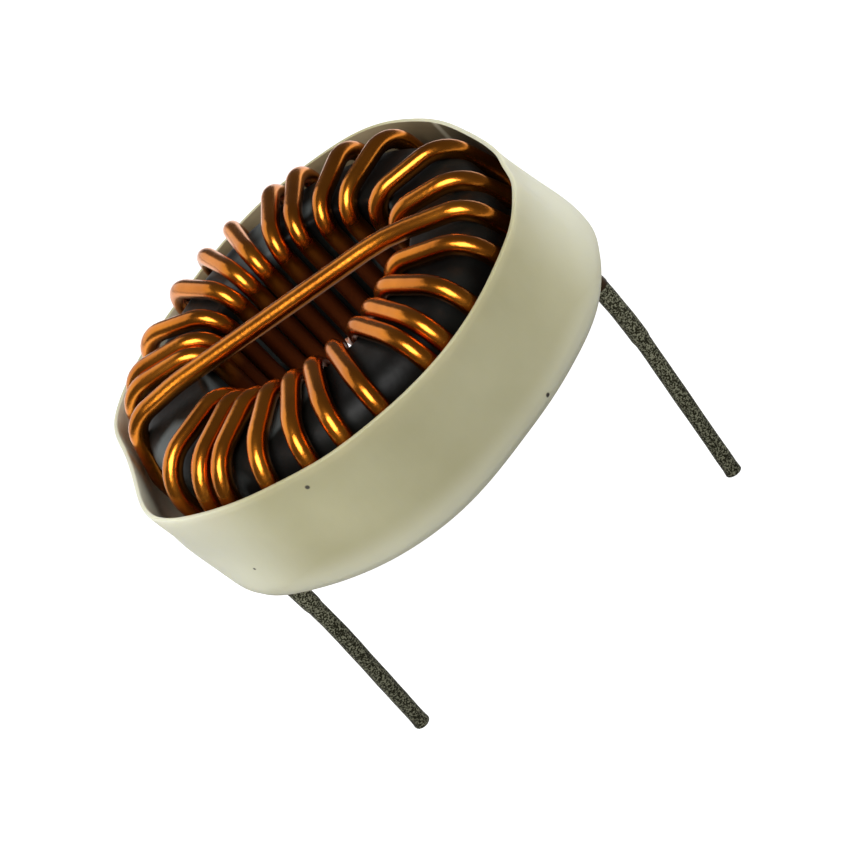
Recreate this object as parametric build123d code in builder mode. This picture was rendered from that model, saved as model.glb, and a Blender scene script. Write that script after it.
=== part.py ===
from build123d import *
from math import cos, pi, radians, sin, sqrt, tan
import os

# Toroidal inductor that lies flat on a circuit board. Sizes are in millimetres.
# Z is parallel to the ring's axis and points away from the board, which is at Z = 0.
# The origin is midway between the two leads, and +X runs from the first lead to the last.

# Ring
centre_x = -0.34
centre_y = 4.84
core_outer_d = 20.6
core_inner_d = 12.2
core_height = 6.6
core_chamfer = 1.15
board_gap = 0.15             # the turns stand this far off the board

# Wire
wire_d = 0.96                # over the enamel
stripped_d = 0.82            # the end of a lead, scraped bare and tinned
wire_gap = 0.12              # the stiff wire stands this far off the core's flat faces and bore
outer_gap = 0.27             # and this far off its outside
upper_bend_r = 2.1
tight_bend_r = 1.5
bend_step = 30               # degrees

# Where each turn stands, in degrees round the ring: first outside the core, then in its bore.
# The turns come in the order of winding. They were wound by hand and left uneven.
outer_angles = [198, 212, 219, 232, 244, 254, 265, 280, 286, 297, 312, 343,
                370, 396, 408, 424, 433, 449, 460, 473, 491, 506, 513]
inner_angles = [197, 209, 221, 232, 243, 254, 265, 277, 288, 299, 310, 384,
                396, 407, 418, 429, 440, 452, 463, 474, 488, 501, 512]
rise_angle = 527             # the wire comes up here to cross over the bore
rise_lean = 4                # degrees, from the foot of the rise to its top
rise_lift = 0.1              # its top stands this far above the other turns
cross_lift = 0.3             # and the crossing this far
cross_start = (7.0, 170)     # the crossing bends here, at this radius and angle
cross_end = (5.54, 329.1)    # and here
cross_start_bend_r = 8
cross_end_bend_r = 7
cross_angle = 323            # the wire goes down the outside here

# Leads
lead_pitch = 20.0
straight_end = -2.85         # below this a lead leans away from the upright
first_tip = (-10.64, 0.86, -11.45)
last_tip = (8.97, -0.64, -12.85)
first_thin_z = -1.45         # a lead is thinner from here to its tip
last_thin_z = -3.65
first_bend_z = 0.5           # above this the first lead slants to its turn
first_joint_z = 3.5          # its round wire meets the eight-sided one here
last_bend_z = 0.25           # the last turn comes out past the sleeve's edge between here
last_jog_z = 1.15            # and here
last_jog_angle = 333.6
last_slant_z = 3.15          # it slants across the sleeve's inside between here
last_slant_angle = 330
last_joint_z = 4.7           # and here, where its wire becomes eight-sided
lead_bend_r = 4
jog_bend_r = 2
slant_bend_r = 6
lean_bend_r = 8

# Sleeve
sleeve_wall = 0.35
sleeve_bottom = 1.0
sleeve_top = 7.45
sleeve_edge_r = 12.0
sleeve_waist_r = 11.94
sleeve_lip = 0.15

# Sizes that follow from those above
core_bottom = board_gap + wire_d + wire_gap
core_top = core_bottom + core_height
low_z = board_gap + wire_d / 2
high_z = core_top + wire_gap + wire_d / 2
outer_r = core_outer_d / 2 + outer_gap + wire_d / 2
inner_r = core_inner_d / 2 - wire_gap - wire_d / 2
ring_axis = Axis((centre_x, centre_y, 0), (0, 0, 1))
ring_section = Plane(origin=(centre_x, centre_y, 0), x_dir=(1, 0, 0), z_dir=(0, -1, 0))


def ring_point(radius, angle, z):
    """The point at this distance and angle from the ring's axis."""
    x = centre_x + radius * cos(radians(angle))
    y = centre_y + radius * sin(radians(angle))
    return Vector(x, y, z)


def point_between(start, end, z):
    """The point at height z on the straight line from start to end."""
    return start + (end - start) * ((z - start.Z) / (end.Z - start.Z))


def bent_path(corners, radii):
    """The points of a wire whose bends are taken in short straight steps."""
    points = [corners[0]]
    for before, corner, after, radius in zip(corners, corners[1:], corners[2:], radii):
        back = (before - corner).normalized()
        ahead = (after - corner).normalized()
        turn = 180 - back.get_angle(ahead)
        spoke_length = radius / cos(radians(turn / 2))
        centre = corner + (back + ahead).normalized() * spoke_length
        spoke = corner + back * radius * tan(radians(turn / 2)) - centre
        steps = max(1, round(turn / bend_step))
        for step in range(steps + 1):
            swing = radians(turn * step / steps)
            points.append(centre + spoke * cos(swing) - back * radius * sin(swing))
    points.append(corners[-1])
    return points


os.makedirs("parts", exist_ok=True)

# Core: a pressed powder ring with broken edges, under a black coating
with BuildPart() as core:
    with BuildSketch(ring_section):
        with Locations(((core_outer_d + core_inner_d) / 4, core_bottom + core_height / 2)):
            Rectangle((core_outer_d - core_inner_d) / 2, core_height)
        chamfer(vertices(), length=core_chamfer)
    revolve(axis=ring_axis)
core.part.label = "core"
export_step(core.part, "parts/core.step")

# Winding: one wire, from the tip of the first lead through every turn to the tip of the last.
# Round the core its section is eight-sided, with the area of the round wire.
first_foot = Vector(-lead_pitch / 2, 0, straight_end)
first_bend = Vector(-lead_pitch / 2, 0, first_bend_z)
first_turn = ring_point(outer_r, outer_angles[0], high_z)
first_joint = point_between(first_bend, first_turn, first_joint_z)

last_foot = Vector(lead_pitch / 2, 0, straight_end)
last_bend = Vector(lead_pitch / 2, 0, last_bend_z)
last_turn = ring_point(outer_r, cross_angle, high_z)
last_slant = ring_point(outer_r, last_slant_angle, last_slant_z)
last_jog = ring_point(outer_r, last_jog_angle, last_jog_z)
last_joint = point_between(last_turn, last_slant, last_joint_z)

turn_path = [first_joint]
turn_radii = []
for outer_angle, inner_angle in zip(outer_angles, inner_angles):
    if turn_radii:
        turn_path.append(ring_point(outer_r, outer_angle, low_z))
        turn_radii.append(tight_bend_r)
    turn_path.append(ring_point(outer_r, outer_angle, high_z))
    turn_path.append(ring_point(inner_r, inner_angle, high_z))
    turn_path.append(ring_point(inner_r, inner_angle, low_z))
    turn_radii.extend([upper_bend_r, tight_bend_r, tight_bend_r])
turn_path.append(ring_point(outer_r, rise_angle - rise_lean / 2, low_z))
turn_path.append(ring_point(outer_r, rise_angle + rise_lean / 2, high_z + rise_lift))
turn_path.append(ring_point(*cross_start, high_z + cross_lift))
turn_path.append(ring_point(*cross_end, high_z + cross_lift))
turn_path.append(last_turn)
turn_path.append(last_joint)
turn_radii.extend([tight_bend_r, upper_bend_r, cross_start_bend_r, cross_end_bend_r, upper_bend_r])

first_cut = Vector(-lead_pitch / 2, 0, first_thin_z)
last_cut = point_between(last_foot, Vector(*last_tip), last_thin_z)

with BuildPart() as winding:
    with BuildLine() as turns:
        Polyline(*bent_path(turn_path, turn_radii))
    with BuildSketch(Plane(origin=turns.wire() @ 0, z_dir=turns.wire() % 0)):
        RegularPolygon(radius=wire_d / 2 * sqrt(pi / (2 * sqrt(2))), side_count=8)
    sweep(path=turns.wire(), transition=Transition.RIGHT)
    with BuildLine() as first_lead:
        FilletPolyline(first_joint, first_bend, first_cut, radius=lead_bend_r)
    with BuildSketch(Plane(origin=first_joint, z_dir=first_lead.wire() % 0)):
        Circle(wire_d / 2)
    sweep(path=first_lead.wire())
    with BuildLine() as first_end:
        FilletPolyline(first_cut, first_foot, Vector(*first_tip), radius=lean_bend_r)
    with BuildSketch(Plane(origin=first_cut, z_dir=(0, 0, -1))):
        Circle(stripped_d / 2)
    sweep(path=first_end.wire())
    with BuildLine() as last_lead:
        FilletPolyline(last_joint, last_slant, last_jog, last_bend, last_foot, last_cut,
                       radius=[slant_bend_r, jog_bend_r, jog_bend_r, lean_bend_r])
    with BuildSketch(Plane(origin=last_joint, z_dir=last_lead.wire() % 0)):
        Circle(wire_d / 2)
    sweep(path=last_lead.wire())
    with BuildLine() as last_end:
        Line(last_cut, Vector(*last_tip))
    with BuildSketch(Plane(origin=last_cut, z_dir=last_end.wire() % 0)):
        Circle(stripped_d / 2)
    sweep(path=last_end.wire())
winding.part.label = "winding"
export_step(winding.part, "parts/winding.step")

# Sleeve: a short length of thin plastic tube that grips the outside of the turns.
# It is drawn in a little at its waist, and its lower edge curls in.
sleeve_middle = (sleeve_bottom + sleeve_top) / 2
with BuildPart() as sleeve:
    with BuildSketch(ring_section):
        with BuildLine():
            ThreePointArc((sleeve_edge_r, sleeve_bottom + sleeve_lip), (sleeve_waist_r, sleeve_middle),
                          (sleeve_edge_r, sleeve_top))
            Line((sleeve_edge_r, sleeve_top), (sleeve_edge_r - sleeve_wall, sleeve_top))
            ThreePointArc((sleeve_edge_r - sleeve_wall, sleeve_top),
                          (sleeve_waist_r - sleeve_wall, sleeve_middle),
                          (sleeve_edge_r - sleeve_wall, sleeve_bottom))
            Line((sleeve_edge_r - sleeve_wall, sleeve_bottom), (sleeve_edge_r - sleeve_lip, sleeve_bottom))
            Line((sleeve_edge_r - sleeve_lip, sleeve_bottom), (sleeve_edge_r, sleeve_bottom + sleeve_lip))
        make_face()
    revolve(axis=ring_axis)
sleeve.part.label = "sleeve"
export_step(sleeve.part, "parts/sleeve.step")
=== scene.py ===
import bmesh
import bpy
from math import atan2, cos, degrees, exp, pi, radians, sin, tan
from mathutils import Euler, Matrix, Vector, noise


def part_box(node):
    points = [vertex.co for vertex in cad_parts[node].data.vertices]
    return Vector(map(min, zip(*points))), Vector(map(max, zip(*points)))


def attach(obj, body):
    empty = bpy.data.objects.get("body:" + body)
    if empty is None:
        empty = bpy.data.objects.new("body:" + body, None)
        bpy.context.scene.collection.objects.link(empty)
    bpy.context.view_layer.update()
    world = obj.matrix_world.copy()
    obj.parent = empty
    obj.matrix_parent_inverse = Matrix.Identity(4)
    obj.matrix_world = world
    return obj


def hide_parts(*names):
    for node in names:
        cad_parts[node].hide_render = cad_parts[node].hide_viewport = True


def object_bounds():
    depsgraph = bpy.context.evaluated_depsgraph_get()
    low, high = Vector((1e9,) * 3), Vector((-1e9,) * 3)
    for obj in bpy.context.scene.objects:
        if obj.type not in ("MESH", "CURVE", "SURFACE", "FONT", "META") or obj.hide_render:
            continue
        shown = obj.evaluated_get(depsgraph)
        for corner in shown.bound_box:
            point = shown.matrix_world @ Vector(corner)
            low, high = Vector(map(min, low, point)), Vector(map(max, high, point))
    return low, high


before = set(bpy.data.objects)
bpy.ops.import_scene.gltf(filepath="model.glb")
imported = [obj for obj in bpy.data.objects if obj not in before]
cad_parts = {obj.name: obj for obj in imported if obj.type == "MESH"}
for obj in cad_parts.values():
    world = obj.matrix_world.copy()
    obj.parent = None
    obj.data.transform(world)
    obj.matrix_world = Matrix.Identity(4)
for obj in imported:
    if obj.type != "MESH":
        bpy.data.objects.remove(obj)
cad_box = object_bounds()


# Turns of the winding.
# One length of stiff 0.9 mm copper wire in clear amber enamel, wound by hand through the ring.
# It springs back a little from every bend, so the turns stand unevenly and off the core.
mm = 0.001
core_low, core_high = (Vector(corner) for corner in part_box("core"))
ring_centre = (core_low + core_high) / 2
wire_r = 0.48 * mm
wire_gap = 0.12 * mm
outer_gap = 0.27 * mm
low_z = core_low.z - wire_gap - wire_r
high_z = core_high.z + wire_gap + wire_r
core_r = (core_high.x - core_low.x) / 2
hole_r = 6.1 * mm
outer_r = core_r + outer_gap + wire_r
inner_r = hole_r - wire_gap - wire_r
upper_bend_r = 2.1 * mm
tight_bend_r = 1.5 * mm
# Where each turn stands, in degrees round the ring: first outside the core, then in its bore.
outer_angles = [198, 212, 219, 232, 244, 254, 265, 280, 286, 297, 312, 341,
                362, 391, 407, 424, 433, 449, 460, 473, 491, 506, 513]
inner_angles = [197, 209, 221, 232, 243, 254, 265, 277, 288, 299, 310, 348,
                374, 396, 412, 427, 440, 452, 463, 474, 488, 501, 512]
# Turns at the two ends of the ring lean in over the core from a soft shoulder. For each of these,
# by its place in the lists, how far from the ring's axis its top reaches, in millimetres.
reaches = {11: 9.6, 12: 9.9, 13: 10.35, 14: 10.6, 15: 10.65, 16: 10.75, 21: 10.65, 22: 10.45}
shoulder_z = high_z - 3.4 * mm
shoulder_r = 3 * mm
lean_bend_r = 1.8 * mm
# After the last turn the wire rises outside the ring and crosses over the bore.
rise_angle = 527
rise_lean = 2
rise_reach = 9.9 * mm
rise_lift = 0.1 * mm
cross_lift = 0.3 * mm
cross_start_r, cross_start_angle, cross_start_bend_r = 7.0 * mm, 170, 8 * mm
cross_end_r, cross_end_angle, cross_end_bend_r = 5.54 * mm, 328.0, 7 * mm
steep_bend_r = 1.6 * mm
# It goes down again inside the sleeve, out past the sleeve's edge and into the last lead.
fall_reach, fall_angle = 9.95 * mm, 325
fall_shoulder_angle = 327
slant_angle, slant_z, slant_bend_r = 330, 3.15 * mm, 6 * mm
jog_angle, jog_z, jog_bend_r = 333.6, 1.15 * mm, 2 * mm
lead_x = 10 * mm
enamel_end_z = -0.05 * mm
first_bend_z, first_bend_r = 0.5 * mm, 4 * mm
last_bend_z, last_bend_r = 0.25 * mm, 1 * mm


def ring_point(radius, angle, z):
    """The point at this distance and angle from the ring's axis."""
    return Vector((ring_centre.x + radius * cos(radians(angle)),
                   ring_centre.y + radius * sin(radians(angle)), z))


def bent_wire(start, bends, end, step=radians(9)):
    """Points from start to end through the corners in bends, each rounded to the radius beside it."""
    corners = [start] + [corner for corner, radius in bends] + [end]
    points = [start]
    for before, (corner, radius), after in zip(corners, bends, corners[2:]):
        back = (before - corner).normalized()
        ahead = (after - corner).normalized()
        turn = pi - back.angle(ahead)
        arc_start = corner + back * radius * tan(turn / 2)
        centre = corner + (back + ahead).normalized() * radius / cos(turn / 2)
        spoke = arc_start - centre
        steps = max(2, round(turn / step))
        for i in range(steps + 1):
            angle = turn * i / steps
            points.append(centre + spoke * cos(angle) - back * radius * sin(angle))
    points.append(end)
    return points


def wire_piece(name, points, radius, factors=None):
    """A round wire along the points, with its radius multiplied by a factor at some of them."""
    curve = bpy.data.curves.new(name, "CURVE")
    curve.dimensions = "3D"
    curve.bevel_depth = radius
    curve.bevel_resolution = 6
    curve.use_fill_caps = True
    spline = curve.splines.new("POLY")
    spline.points.add(len(points) - 1)
    for spline_point, point in zip(spline.points, points):
        spline_point.co = (*point, 1)
    for index, factor in (factors or {}).items():
        spline.points[index].radius = factor
    spline.use_smooth = True
    piece = bpy.data.objects.new(name, curve)
    bpy.context.collection.objects.link(piece)
    return piece


wire_bends = [(Vector((-lead_x, 0, first_bend_z)), first_bend_r)]
for turn, (outer_angle, inner_angle) in enumerate(zip(outer_angles, inner_angles)):
    leans = turn in reaches
    if turn:
        wire_bends.append((ring_point(outer_r, outer_angle, low_z), tight_bend_r))
    if leans:
        wire_bends.append((ring_point(outer_r, outer_angle, shoulder_z), shoulder_r))
        wire_bends.append((ring_point(reaches[turn] * mm, outer_angle, high_z), lean_bend_r))
    else:
        wire_bends.append((ring_point(outer_r, outer_angle, high_z), upper_bend_r))
    wire_bends.append((ring_point(inner_r, inner_angle, high_z), tight_bend_r))
    wire_bends.append((ring_point(inner_r, inner_angle, low_z), tight_bend_r))
wire_bends += [
    (ring_point(outer_r, rise_angle - rise_lean, low_z), tight_bend_r),
    (ring_point(outer_r, rise_angle, shoulder_z), shoulder_r),
    (ring_point(rise_reach, rise_angle + rise_lean, high_z + rise_lift), steep_bend_r),
    (ring_point(cross_start_r, cross_start_angle, high_z + cross_lift), cross_start_bend_r),
    (ring_point(cross_end_r, cross_end_angle, high_z + cross_lift), cross_end_bend_r),
    (ring_point(fall_reach, fall_angle, high_z), steep_bend_r),
    (ring_point(outer_r, fall_shoulder_angle, shoulder_z), shoulder_r),
    (ring_point(outer_r, slant_angle, slant_z), slant_bend_r),
    (ring_point(outer_r, jog_angle, jog_z), jog_bend_r),
    (Vector((lead_x, 0, last_bend_z)), last_bend_r),
]
first_end = Vector((-lead_x, 0, enamel_end_z))
last_end = Vector((lead_x, 0, enamel_end_z))
turns = wire_piece("turns", bent_wire(first_end, wire_bends, last_end), wire_r)


def feed(node, inputs):
    """Give each named input of a node its value, or link it to the output of another node."""
    for socket, value in inputs.items():
        if isinstance(value, bpy.types.NodeSocket):
            node.id_data.links.new(value, node.inputs[socket])
        else:
            node.inputs[socket].default_value = value


def add_node(nodes, kind, inputs, **settings):
    """A new node of this kind, with its settings made and its inputs fed."""
    node = nodes.new(kind)
    for setting, value in settings.items():
        setattr(node, setting, value)
    feed(node, inputs)
    return node


def fade(nodes, value, start=0, end=1, first=0, last=1, interpolation="LINEAR"):
    """A mask that goes from first to last while the value goes from start to end."""
    ends = {"Value": value, "From Min": start, "From Max": end, "To Min": first, "To Max": last}
    return add_node(nodes, "ShaderNodeMapRange", ends, interpolation_type=interpolation).outputs["Result"]


def painted(nodes, under, over, mask):
    """One colour painted over another where the mask is 1."""
    colours = {"Factor": mask, "A": under, "B": over}
    return add_node(nodes, "ShaderNodeMix", colours, data_type="RGBA").outputs["Result"]


def number_math(nodes, operation, *values):
    """The result of a Math node."""
    return add_node(nodes, "ShaderNodeMath", dict(enumerate(values)), operation=operation).outputs["Value"]


def vector_math(nodes, operation, *values):
    """The result of a Vector Math node, which is a number for a length, a distance or a dot product."""
    node = add_node(nodes, "ShaderNodeVectorMath", dict(enumerate(values)), operation=operation)
    return node.outputs["Value" if operation in ("LENGTH", "DISTANCE", "DOT_PRODUCT") else "Vector"]


def bumps(nodes, height, depth, strength):
    """The normal of a surface with bumps of this depth."""
    shape = {"Height": height, "Distance": depth, "Strength": strength}
    return add_node(nodes, "ShaderNodeBump", shape).outputs["Normal"]


def new_material(name):
    """A material with its nodes, its shader and the place of each point on the piece."""
    material = bpy.data.materials.new(name)
    material.use_nodes = True
    nodes = material.node_tree.nodes
    return material, nodes, nodes["Principled BSDF"], nodes.new("ShaderNodeTexCoord").outputs["Object"]


# Every finish of this part is a little cloudy or grainy: a noise that runs from one tone to another.
mottle = bpy.data.node_groups.new("mottle", "ShaderNodeTree")
for socket, kind in (("Place", "Vector"), ("Scale", "Float"), ("Detail", "Float"), ("Start", "Float"),
                     ("End", "Float"), ("First Tone", "Color"), ("Last Tone", "Color")):
    mottle.interface.new_socket(name=socket, in_out="INPUT", socket_type="NodeSocket" + kind)
for socket, kind in (("Tone", "Color"), ("Grain", "Float")):
    mottle.interface.new_socket(name=socket, in_out="OUTPUT", socket_type="NodeSocket" + kind)
taken = mottle.nodes.new("NodeGroupInput").outputs
cloudy = add_node(mottle.nodes, "ShaderNodeTexNoise",
                  {"Vector": taken["Place"], "Scale": taken["Scale"], "Detail": taken["Detail"]})
toned = painted(mottle.nodes, taken["First Tone"], taken["Last Tone"],
                fade(mottle.nodes, cloudy.outputs["Fac"], taken["Start"], taken["End"]))
add_node(mottle.nodes, "NodeGroupOutput", {"Tone": toned, "Grain": cloudy.outputs["Fac"]})


def mottling(nodes, place, scale, detail, start=0, end=1, first=(0, 0, 0, 1), last=(1, 1, 1, 1)):
    """The mottle group's tone and grain. The first tone lies up to start, and the last one from end on."""
    values = {"Place": place, "Scale": scale, "Detail": detail, "Start": start, "End": end,
              "First Tone": first, "Last Tone": last}
    group = add_node(nodes, "ShaderNodeGroup", values, node_tree=mottle)
    return group.outputs["Tone"], group.outputs["Grain"]


dark_amber = (0.56, 0.165, 0.010, 1)
light_amber = (0.78, 0.25, 0.018, 1)
# The next colour is painted shade for the turns down in the bore.
bore_painted_shade = (0.13, 0.028, 0.006, 1)
end_dark_brown = (0.05, 0.025, 0.008, 1)
enamel, nodes, shader, place = new_material("amber_enamel_on_copper")
colour, blotches = mottling(nodes, place, scale=320, detail=3, start=0.35, end=0.65,
                            first=dark_amber, last=light_amber)
scuffs = mottling(nodes, place, scale=4200, detail=2)[1]
# Down in the bore the enamel is painted darker and redder, as painted shade, and is made duller.
centred = vector_math(nodes, "SUBTRACT", place, ring_centre)
from_axis = vector_math(nodes, "LENGTH", vector_math(nodes, "MULTIPLY", centred, (1, 1, 0)))
height = add_node(nodes, "ShaderNodeSeparateXYZ", {"Vector": centred}).outputs["Z"]
out_of_bore = fade(nodes, from_axis, start=6.0 * mm, end=7.0 * mm)
above_bore = fade(nodes, height, start=1.4 * mm, end=3.9 * mm)
open_air = number_math(nodes, "MAXIMUM", out_of_bore, above_bore)
colour = painted(nodes, bore_painted_shade, colour, open_air)
roughness = number_math(nodes, "MAXIMUM", fade(nodes, blotches, first=0.20, last=0.30),
                        fade(nodes, open_air, first=0.6, last=0))
# The enamel is darker brown beside each stripped end. Both ends are
# folded on to one side, so that one distance serves for the two.
folded = vector_math(nodes, "MULTIPLY", vector_math(nodes, "ABSOLUTE", place), (1, 1, 0.6))
from_end = vector_math(nodes, "DISTANCE", folded, (lead_x, 0, 0))
beside_stripped_end = fade(nodes, from_end, start=0.6 * mm, end=1.6 * mm, first=1, last=0)
colour = painted(nodes, colour, end_dark_brown, beside_stripped_end)
feed(shader, {"Base Color": colour, "Metallic": 1, "Roughness": roughness,
              "Coat Weight": fade(nodes, open_air, last=0.25), "Coat Roughness": 0.2,
              "Normal": bumps(nodes, scuffs, depth=0.012 * mm, strength=0.6)})
turns.data.materials.append(enamel)
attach(turns, "root")
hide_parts("winding")


# Stripped ends of the leads.
# The enamel is burnt off and the bare copper is dipped in solder, which dulls to a grainy grey.
# It is a little thicker near the ring, and cutters left each tip slightly flared.
tin_r = 0.41 * mm
thick_tin = 0.46 * mm / tin_r
tip_flare = 1.06
flare_length = 0.35 * mm
lead_foot_z = -2.85 * mm
lead_bend_r = 30 * mm
point_gap = 0.12 * mm       # the width of a lead changes a little from point to point
step_length = 0.25 * mm     # and by a step over this length, where the thicker part ends
wander_scale = 900
wander_share = 0.03
lead_ends = []
for name, start, tip, thin_z in (("first_end", first_end, (-10.64, 0.86, -11.45), -1.45 * mm),
                                 ("last_end", last_end, (8.97, -0.64, -12.85), -3.65 * mm)):
    tip = Vector(tip) * mm
    foot = Vector((start.x, 0, lead_foot_z))
    curve = bent_wire(start, [(foot, lead_bend_r)], tip, step=radians(0.5))
    points = [start]
    for first, second in zip(curve, curve[1:]):
        pieces = max(1, round((second - first).length / point_gap))
        points.extend(first.lerp(second, (i + 1) / pieces) for i in range(pieces))
    factors = {}
    for i, point in enumerate(points):
        thick = min(1, max(0, (point.z - thin_z) / step_length + 1))
        wander = noise.noise(point * wander_scale) * wander_share
        flare = (tip_flare - 1) * max(0, 1 - (point - tip).length / flare_length)
        factors[i] = 1 + (thick_tin - 1) * thick + wander + flare
    lead_ends.append(wire_piece(name, points, tin_r, factors))

tin, nodes, shader, place = new_material("dull_solder")
colour, grain = mottling(nodes, place, scale=11000, detail=4, start=0.47, end=0.60,
                         first=(0.035, 0.034, 0.018, 1), last=(0.42, 0.42, 0.29, 1))
feed(shader, {"Base Color": colour, "Metallic": 1, "Roughness": 0.42,
              "Normal": bumps(nodes, grain, depth=0.05 * mm, strength=0.8)})
for end in lead_ends:
    end.data.materials.append(tin)
    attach(end, "root")
    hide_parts("winding")


# Core under the turns.
# A pressed iron powder ring, tumbled and then coated black, so its edges are round and its skin is lumpy.
# It shows only in the gaps between the turns.
outer_round = 1.5 * mm
inner_round = 0.3 * mm
core_steps = 160


def spin_round(shape, steps):
    """Turn a section all the way round the ring's axis into a smooth, closed skin."""
    bmesh.ops.spin(shape, geom=list(shape.verts) + list(shape.edges), cent=ring_centre, axis=(0, 0, 1),
                   angle=2 * pi, steps=steps, use_merge=True)
    bmesh.ops.remove_doubles(shape, verts=shape.verts, dist=0.001 * mm)
    bmesh.ops.recalc_face_normals(shape, faces=shape.faces)
    for face in shape.faces:
        face.smooth = True


def mesh_piece(name, shape):
    """An object with the shape of a bmesh."""
    mesh = bpy.data.meshes.new(name)
    shape.to_mesh(mesh)
    shape.free()
    piece = bpy.data.objects.new(name, mesh)
    bpy.context.collection.objects.link(piece)
    return piece


ring = bmesh.new()
section = [ring.verts.new(Vector((ring_centre.x + radius, ring_centre.y, z)))
           for radius, z in ((hole_r, core_low.z), (core_r, core_low.z),
                             (core_r, core_high.z), (hole_r, core_high.z))]
ring.faces.new(section)
for edge_corners, rounding in ((section[1:3], outer_round), (section[::3], inner_round)):
    bmesh.ops.bevel(ring, geom=edge_corners, offset=rounding, offset_type="OFFSET", affect="VERTICES",
                    segments=6, profile=0.5, material=-1)
bmesh.ops.delete(ring, geom=list(ring.faces), context="FACES_ONLY")
spin_round(ring, core_steps)
coated_core = mesh_piece("coated_core", ring)

# This grey is a painted reflection on the black core.
painted_sheen_grey = (0.085, 0.096, 0.094, 1)
coating, nodes, shader, place = new_material("black_coating")
colour, lumps = mottling(nodes, place, scale=380, detail=4, start=0.4, end=0.7,
                         first=(0.004, 0.0035, 0.003, 1), last=(0.010, 0.011, 0.009, 1))
# Soft grey patches are painted on the black as painted reflection.
sheen_patches = mottling(nodes, place, scale=190, detail=2)[1]
colour = painted(nodes, colour, painted_sheen_grey, fade(nodes, sheen_patches, start=0.54, end=0.60))
feed(shader, {"Base Color": colour, "Roughness": 0.48, "Specular IOR Level": 0.22,
              "Normal": bumps(nodes, lumps, depth=0.16 * mm, strength=0.7)})
coated_core.data.materials.append(coating)
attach(coated_core, "root")
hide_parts("core")


# Sleeve round the turns.
# A short length of thin cream plastic tube, pushed on while warm and shrunk on to the turns.
# Its edges were cut with a knife, so they wander, and the wall is pushed out over the last lead.
sleeve_wall = 0.22 * mm
cut_edge_round = 0.05 * mm
sleeve_low, sleeve_high = (Vector(corner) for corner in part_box("sleeve"))
sleeve_height = sleeve_high.z - sleeve_low.z
sleeve_r = (sleeve_high.x - sleeve_low.x) / 2
sleeve_rows = 14
sleeve_steps = 240
# Each swelling or pinch: how far it moves the wall, its angle and half width in degrees,
# and its height and half height as shares of the sleeve's.
swellings = [(0.62, 345, 20, 0.12, 0.40), (-0.70, 2, 22, 1.05, 0.40), (0.30, 43, 12, 1.0, 0.4),
             (-0.68, 171, 15, 1.05, 0.35), (0.30, 174, 16, 0.40, 0.3), (0.22, 154, 9, 1.0, 0.5),
             (0.62, 200, 11, 1.0, 0.35), (-0.28, 240, 10, 1.0, 0.3),
             (-0.22, 186, 14, 0.0, 0.30), (0.28, 208, 10, 0.05, 0.25), (-0.20, 5, 14, 0.45, 0.25),
             (0.18, 318, 10, 0.1, 0.3), (-0.14, 341, 4, 0.75, 0.25), (0.10, 333, 4, 0.8, 0.3)]
# How far the knife lifted each edge, and the angle and half width in degrees.
lower_cuts = [(0.24, 287, 14), (-0.12, 245, 24)]
upper_cuts = [(-0.48, 112, 24), (0.10, 45, 12)]
# A cut in an edge fades out over this share of the sleeve's height.
lower_cut_share = 0.4
upper_cut_share = 0.4
# The lower edge curls in by this much, over this share of the height.
curl = 0.22 * mm
curl_share = 0.10
tightness = 0.03 * mm
ripple, ripple_scale = 0.05 * mm, 260
rim_wave, rim_wave_scale = 0.14 * mm, 2.6


def fall_off(distance, half_width):
    """1 at the middle of a soft swelling, half at its half width and near 0 from twice that on."""
    return exp(-0.7 * (distance / half_width) ** 2)


def degrees_apart(angle, middle):
    """How far one angle is from another, whichever way round is shorter."""
    return (angle - middle + 180) % 360 - 180


def edge_lift(cuts, angle):
    """How far the knife's path lifts an edge at this angle."""
    return sum(lift * fall_off(degrees_apart(angle, middle), half_width)
               for lift, middle, half_width in cuts) * mm


def wall_shift(angle, share):
    """How far the wall stands out from a plain tube at this angle and share of the height."""
    return sum(shift * fall_off(degrees_apart(angle, middle), half_width)
               * fall_off(share - level, half_height)
               for shift, middle, half_width, level, half_height in swellings) * mm


tube = bmesh.new()
column = [tube.verts.new((ring_centre.x + sleeve_r, ring_centre.y,
                          sleeve_low.z + sleeve_height * row / sleeve_rows))
          for row in range(sleeve_rows + 1)]
for below, above in zip(column, column[1:]):
    tube.edges.new((below, above))
spin_round(tube, sleeve_steps)
for vert in tube.verts:
    share = (vert.co.z - sleeve_low.z) / sleeve_height
    angle = degrees(atan2(vert.co.y - ring_centre.y, vert.co.x - ring_centre.x))
    outward = Vector((cos(radians(angle)), sin(radians(angle)), 0))
    curled = curl * max(0, 1 - share / curl_share) ** 2
    rippled = ripple * noise.noise(vert.co * ripple_scale)
    near_foot = max(0, 1 - share / lower_cut_share)
    near_rim = max(0, share - 1 + upper_cut_share) / upper_cut_share
    waved = rim_wave * noise.noise(outward * rim_wave_scale)
    vert.co += outward * (wall_shift(angle, share) - curled + rippled - tightness)
    vert.co.z += near_foot * edge_lift(lower_cuts, angle) + near_rim * (edge_lift(upper_cuts, angle) + waved)
shrunk_sleeve = mesh_piece("shrunk_sleeve", tube)
solid = shrunk_sleeve.modifiers.new("wall", "SOLIDIFY")
solid.thickness = sleeve_wall
solid.offset = -1
solid.material_offset = 1
edge = shrunk_sleeve.modifiers.new("cut_edges", "BEVEL")
edge.width = cut_edge_round
edge.segments = 2
edge.limit_method = "ANGLE"

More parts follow.
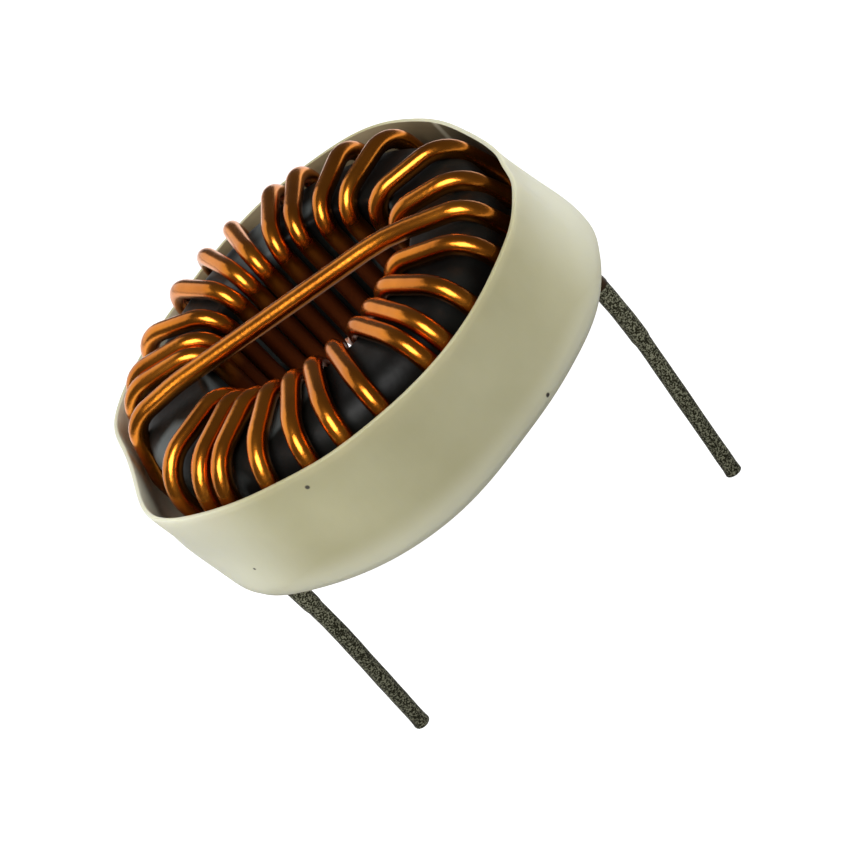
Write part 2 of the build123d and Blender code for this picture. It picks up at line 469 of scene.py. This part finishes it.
# The cream below is a painted sheen; the black is dirt.
painted_sheen_cream = (0.70, 0.69, 0.53, 1)
dirt_black = (0.03, 0.025, 0.015, 1)
plastic, nodes, shader, place = new_material("cream_plastic")
colour = mottling(nodes, place, scale=180, detail=3, start=0.3, end=0.7,
                  first=(0.39, 0.365, 0.21, 1), last=(0.47, 0.445, 0.275, 1))[0]
# Faint upright streaks from drawing the tube.
drawn = vector_math(nodes, "MULTIPLY", place, (1, 1, 0.1))
streaks = mottling(nodes, drawn, scale=520, detail=4)[1]
# The plastic is painted paler along its lower edge and over the two ends, as painted sheen.
axes = add_node(nodes, "ShaderNodeSeparateXYZ", {"Vector": place}).outputs
sheen_at_edge = fade(nodes, axes["Z"], start=3.0 * mm, end=1.0 * mm, last=0.8, interpolation="SMOOTHSTEP")
from_middle = number_math(nodes, "ABSOLUTE", axes["X"])
sheen_at_ends = fade(nodes, from_middle, start=7.5 * mm, end=12.2 * mm, interpolation="SMOOTHSTEP")
colour = painted(nodes, colour, painted_sheen_cream, number_math(nodes, "MAXIMUM", sheen_at_edge, sheen_at_ends))
# Specks of dirt, each at its place and with its radius in millimetres.
specks = [((-5.96, -5.46, 6.58), 0.10), ((-10.42, -1.68, 3.21), 0.08), ((4.39, -6.19, 1.69), 0.1)]
for speck_place, speck_r in specks:
    from_speck = vector_math(nodes, "DISTANCE", place, Vector(speck_place) * mm)
    on_speck = fade(nodes, from_speck, start=1.4 * speck_r * mm, end=0.8 * speck_r * mm)
    colour = painted(nodes, colour, dirt_black, on_speck)
roughness = fade(nodes, streaks, start=0.3, end=0.7, first=0.36, last=0.50)
feed(shader, {"Base Color": colour, "Roughness": roughness, "Subsurface Weight": 0.35,
              "Subsurface Scale": 1.0 * mm, "Subsurface Radius": (1.0, 0.85, 0.5),
              "Normal": bumps(nodes, streaks, depth=0.10 * mm, strength=0.35)})
shrunk_sleeve.data.materials.append(plastic)

# Colours inside the sleeve: painted shade, painted light through the thin plastic, and a painted highlight
# on a crease.
painted_shade_black = (0.020, 0.015, 0.009, 1)
lit_through_cream = (0.78, 0.77, 0.62, 1)
crease_highlight_cream = (0.60, 0.56, 0.42, 1)
inside, nodes, shader, place = new_material("shaded_plastic")
colour = mottling(nodes, place, scale=240, detail=2, start=0.3, end=0.7,
                  first=(0.20, 0.155, 0.08, 1), last=(0.31, 0.25, 0.15, 1))[0]
# Painted shade: the inside is painted near black deeper in and at the end by the last lead.
towards_lead = (cos(radians(-20)), sin(radians(-20)), 0)
along = vector_math(nodes, "DOT_PRODUCT", place, towards_lead)
height = add_node(nodes, "ShaderNodeSeparateXYZ", {"Vector": place}).outputs["Z"]
unshaded = number_math(nodes, "MULTIPLY", fade(nodes, along, start=9.0 * mm, end=4.0 * mm),
                    fade(nodes, height, start=5.0 * mm, end=6.8 * mm))
colour = painted(nodes, painted_shade_black, colour, unshaded)
# At the other end the inside is painted pale, as painted light coming through the thin plastic.
far_end = fade(nodes, along, start=-9.5 * mm, end=-11.5 * mm, last=0.8)
colour = painted(nodes, colour, lit_through_cream, far_end)
# A painted highlight runs down a crease in the far wall.
crease_foot = ring_point(11.6 * mm, 21, 0)
from_crease = vector_math(nodes, "DISTANCE", vector_math(nodes, "MULTIPLY", place, (1, 1, 0)), crease_foot)
crease = fade(nodes, from_crease, start=0.45 * mm, end=0.15 * mm, last=0.7)
colour = painted(nodes, colour, crease_highlight_cream, crease)
feed(shader, {"Base Color": colour, "Roughness": 0.5})
shrunk_sleeve.data.materials.append(inside)
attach(shrunk_sleeve, "root")
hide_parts("sleeve")


# Floor that the lead tips stand on.
# A wide sheet of matt paper, seen white all round, that keeps the shadow of the part.
# What the wire mirrors of it is bright only from well beside the ring: painted shade under the ring.
sheet_half_width = 3        # metres
paper_brightness = 0.93
sheet = bmesh.new()
bmesh.ops.create_grid(sheet, x_segments=1, y_segments=1, size=sheet_half_width)
bmesh.ops.translate(sheet, verts=sheet.verts, vec=(0, 0, cad_box[0][2]))
floor = mesh_piece("floor", sheet)
paper, nodes, shader, place = new_material("white_paper")
rays = nodes.new("ShaderNodeLightPath").outputs
well_beside = fade(nodes, vector_math(nodes, "LENGTH", place), start=30 * mm, end=80 * mm)
mirrored = number_math(nodes, "MULTIPLY", rays["Is Glossy Ray"], well_beside)
bright = number_math(nodes, "MAXIMUM", number_math(nodes, "MAXIMUM", rays["Is Camera Ray"], mirrored),
                     rays["Is Transmission Ray"])
feed(shader, {"Base Color": (0.30, 0.30, 0.30, 1), "Roughness": 0.9, "Emission Color": (1, 1, 1, 1),
              "Emission Strength": number_math(nodes, "MULTIPLY", bright, paper_brightness)})
floor.data.materials.append(paper)


# Soft light.
# A dim white room, two square lamps that the wire mirrors, and one at each side that it doesn't.
world = bpy.data.worlds.new("studio")
world.use_nodes = True
bpy.context.scene.world = world
feed(world.node_tree.nodes["Background"], {"Color": (1, 1, 1, 1), "Strength": 0.10})
for name, place, size, power, mirrored in (("key", (-0.05, -0.16, 0.22), 0.15, 0.60, True),
                                           ("back", (-0.14, 0.20, 0.16), 0.32, 0.30, True),
                                           ("right", (0.25, 0.02, 0.08), 0.28, 0.80, False),
                                           ("left", (-0.22, -0.06, 0.02), 0.28, 0.50, False)):
    light = bpy.data.lights.new(name, "AREA")
    light.size = size
    light.energy = power
    lamp = bpy.data.objects.new(name, light)
    lamp.location = place
    lamp.rotation_euler = (ring_centre - Vector(place)).to_track_quat("-Z", "Y").to_euler()
    lamp.visible_glossy = mirrored
    bpy.context.collection.objects.link(lamp)


# Camera at the height and tilt of the photograph, with a long lens.
camera = bpy.data.cameras.new("camera")
camera.lens = 104.1
camera.clip_start = 0.01
view = bpy.data.objects.new("camera", camera)
view.location = Vector((-1.87, -96.85, 61.48)) * mm
view.rotation_euler = Euler((radians(49.09), radians(36.24), radians(-28.03)))
bpy.context.collection.objects.link(view)
bpy.context.scene.camera = view
bpy.context.scene.view_settings.view_transform = "Standard"
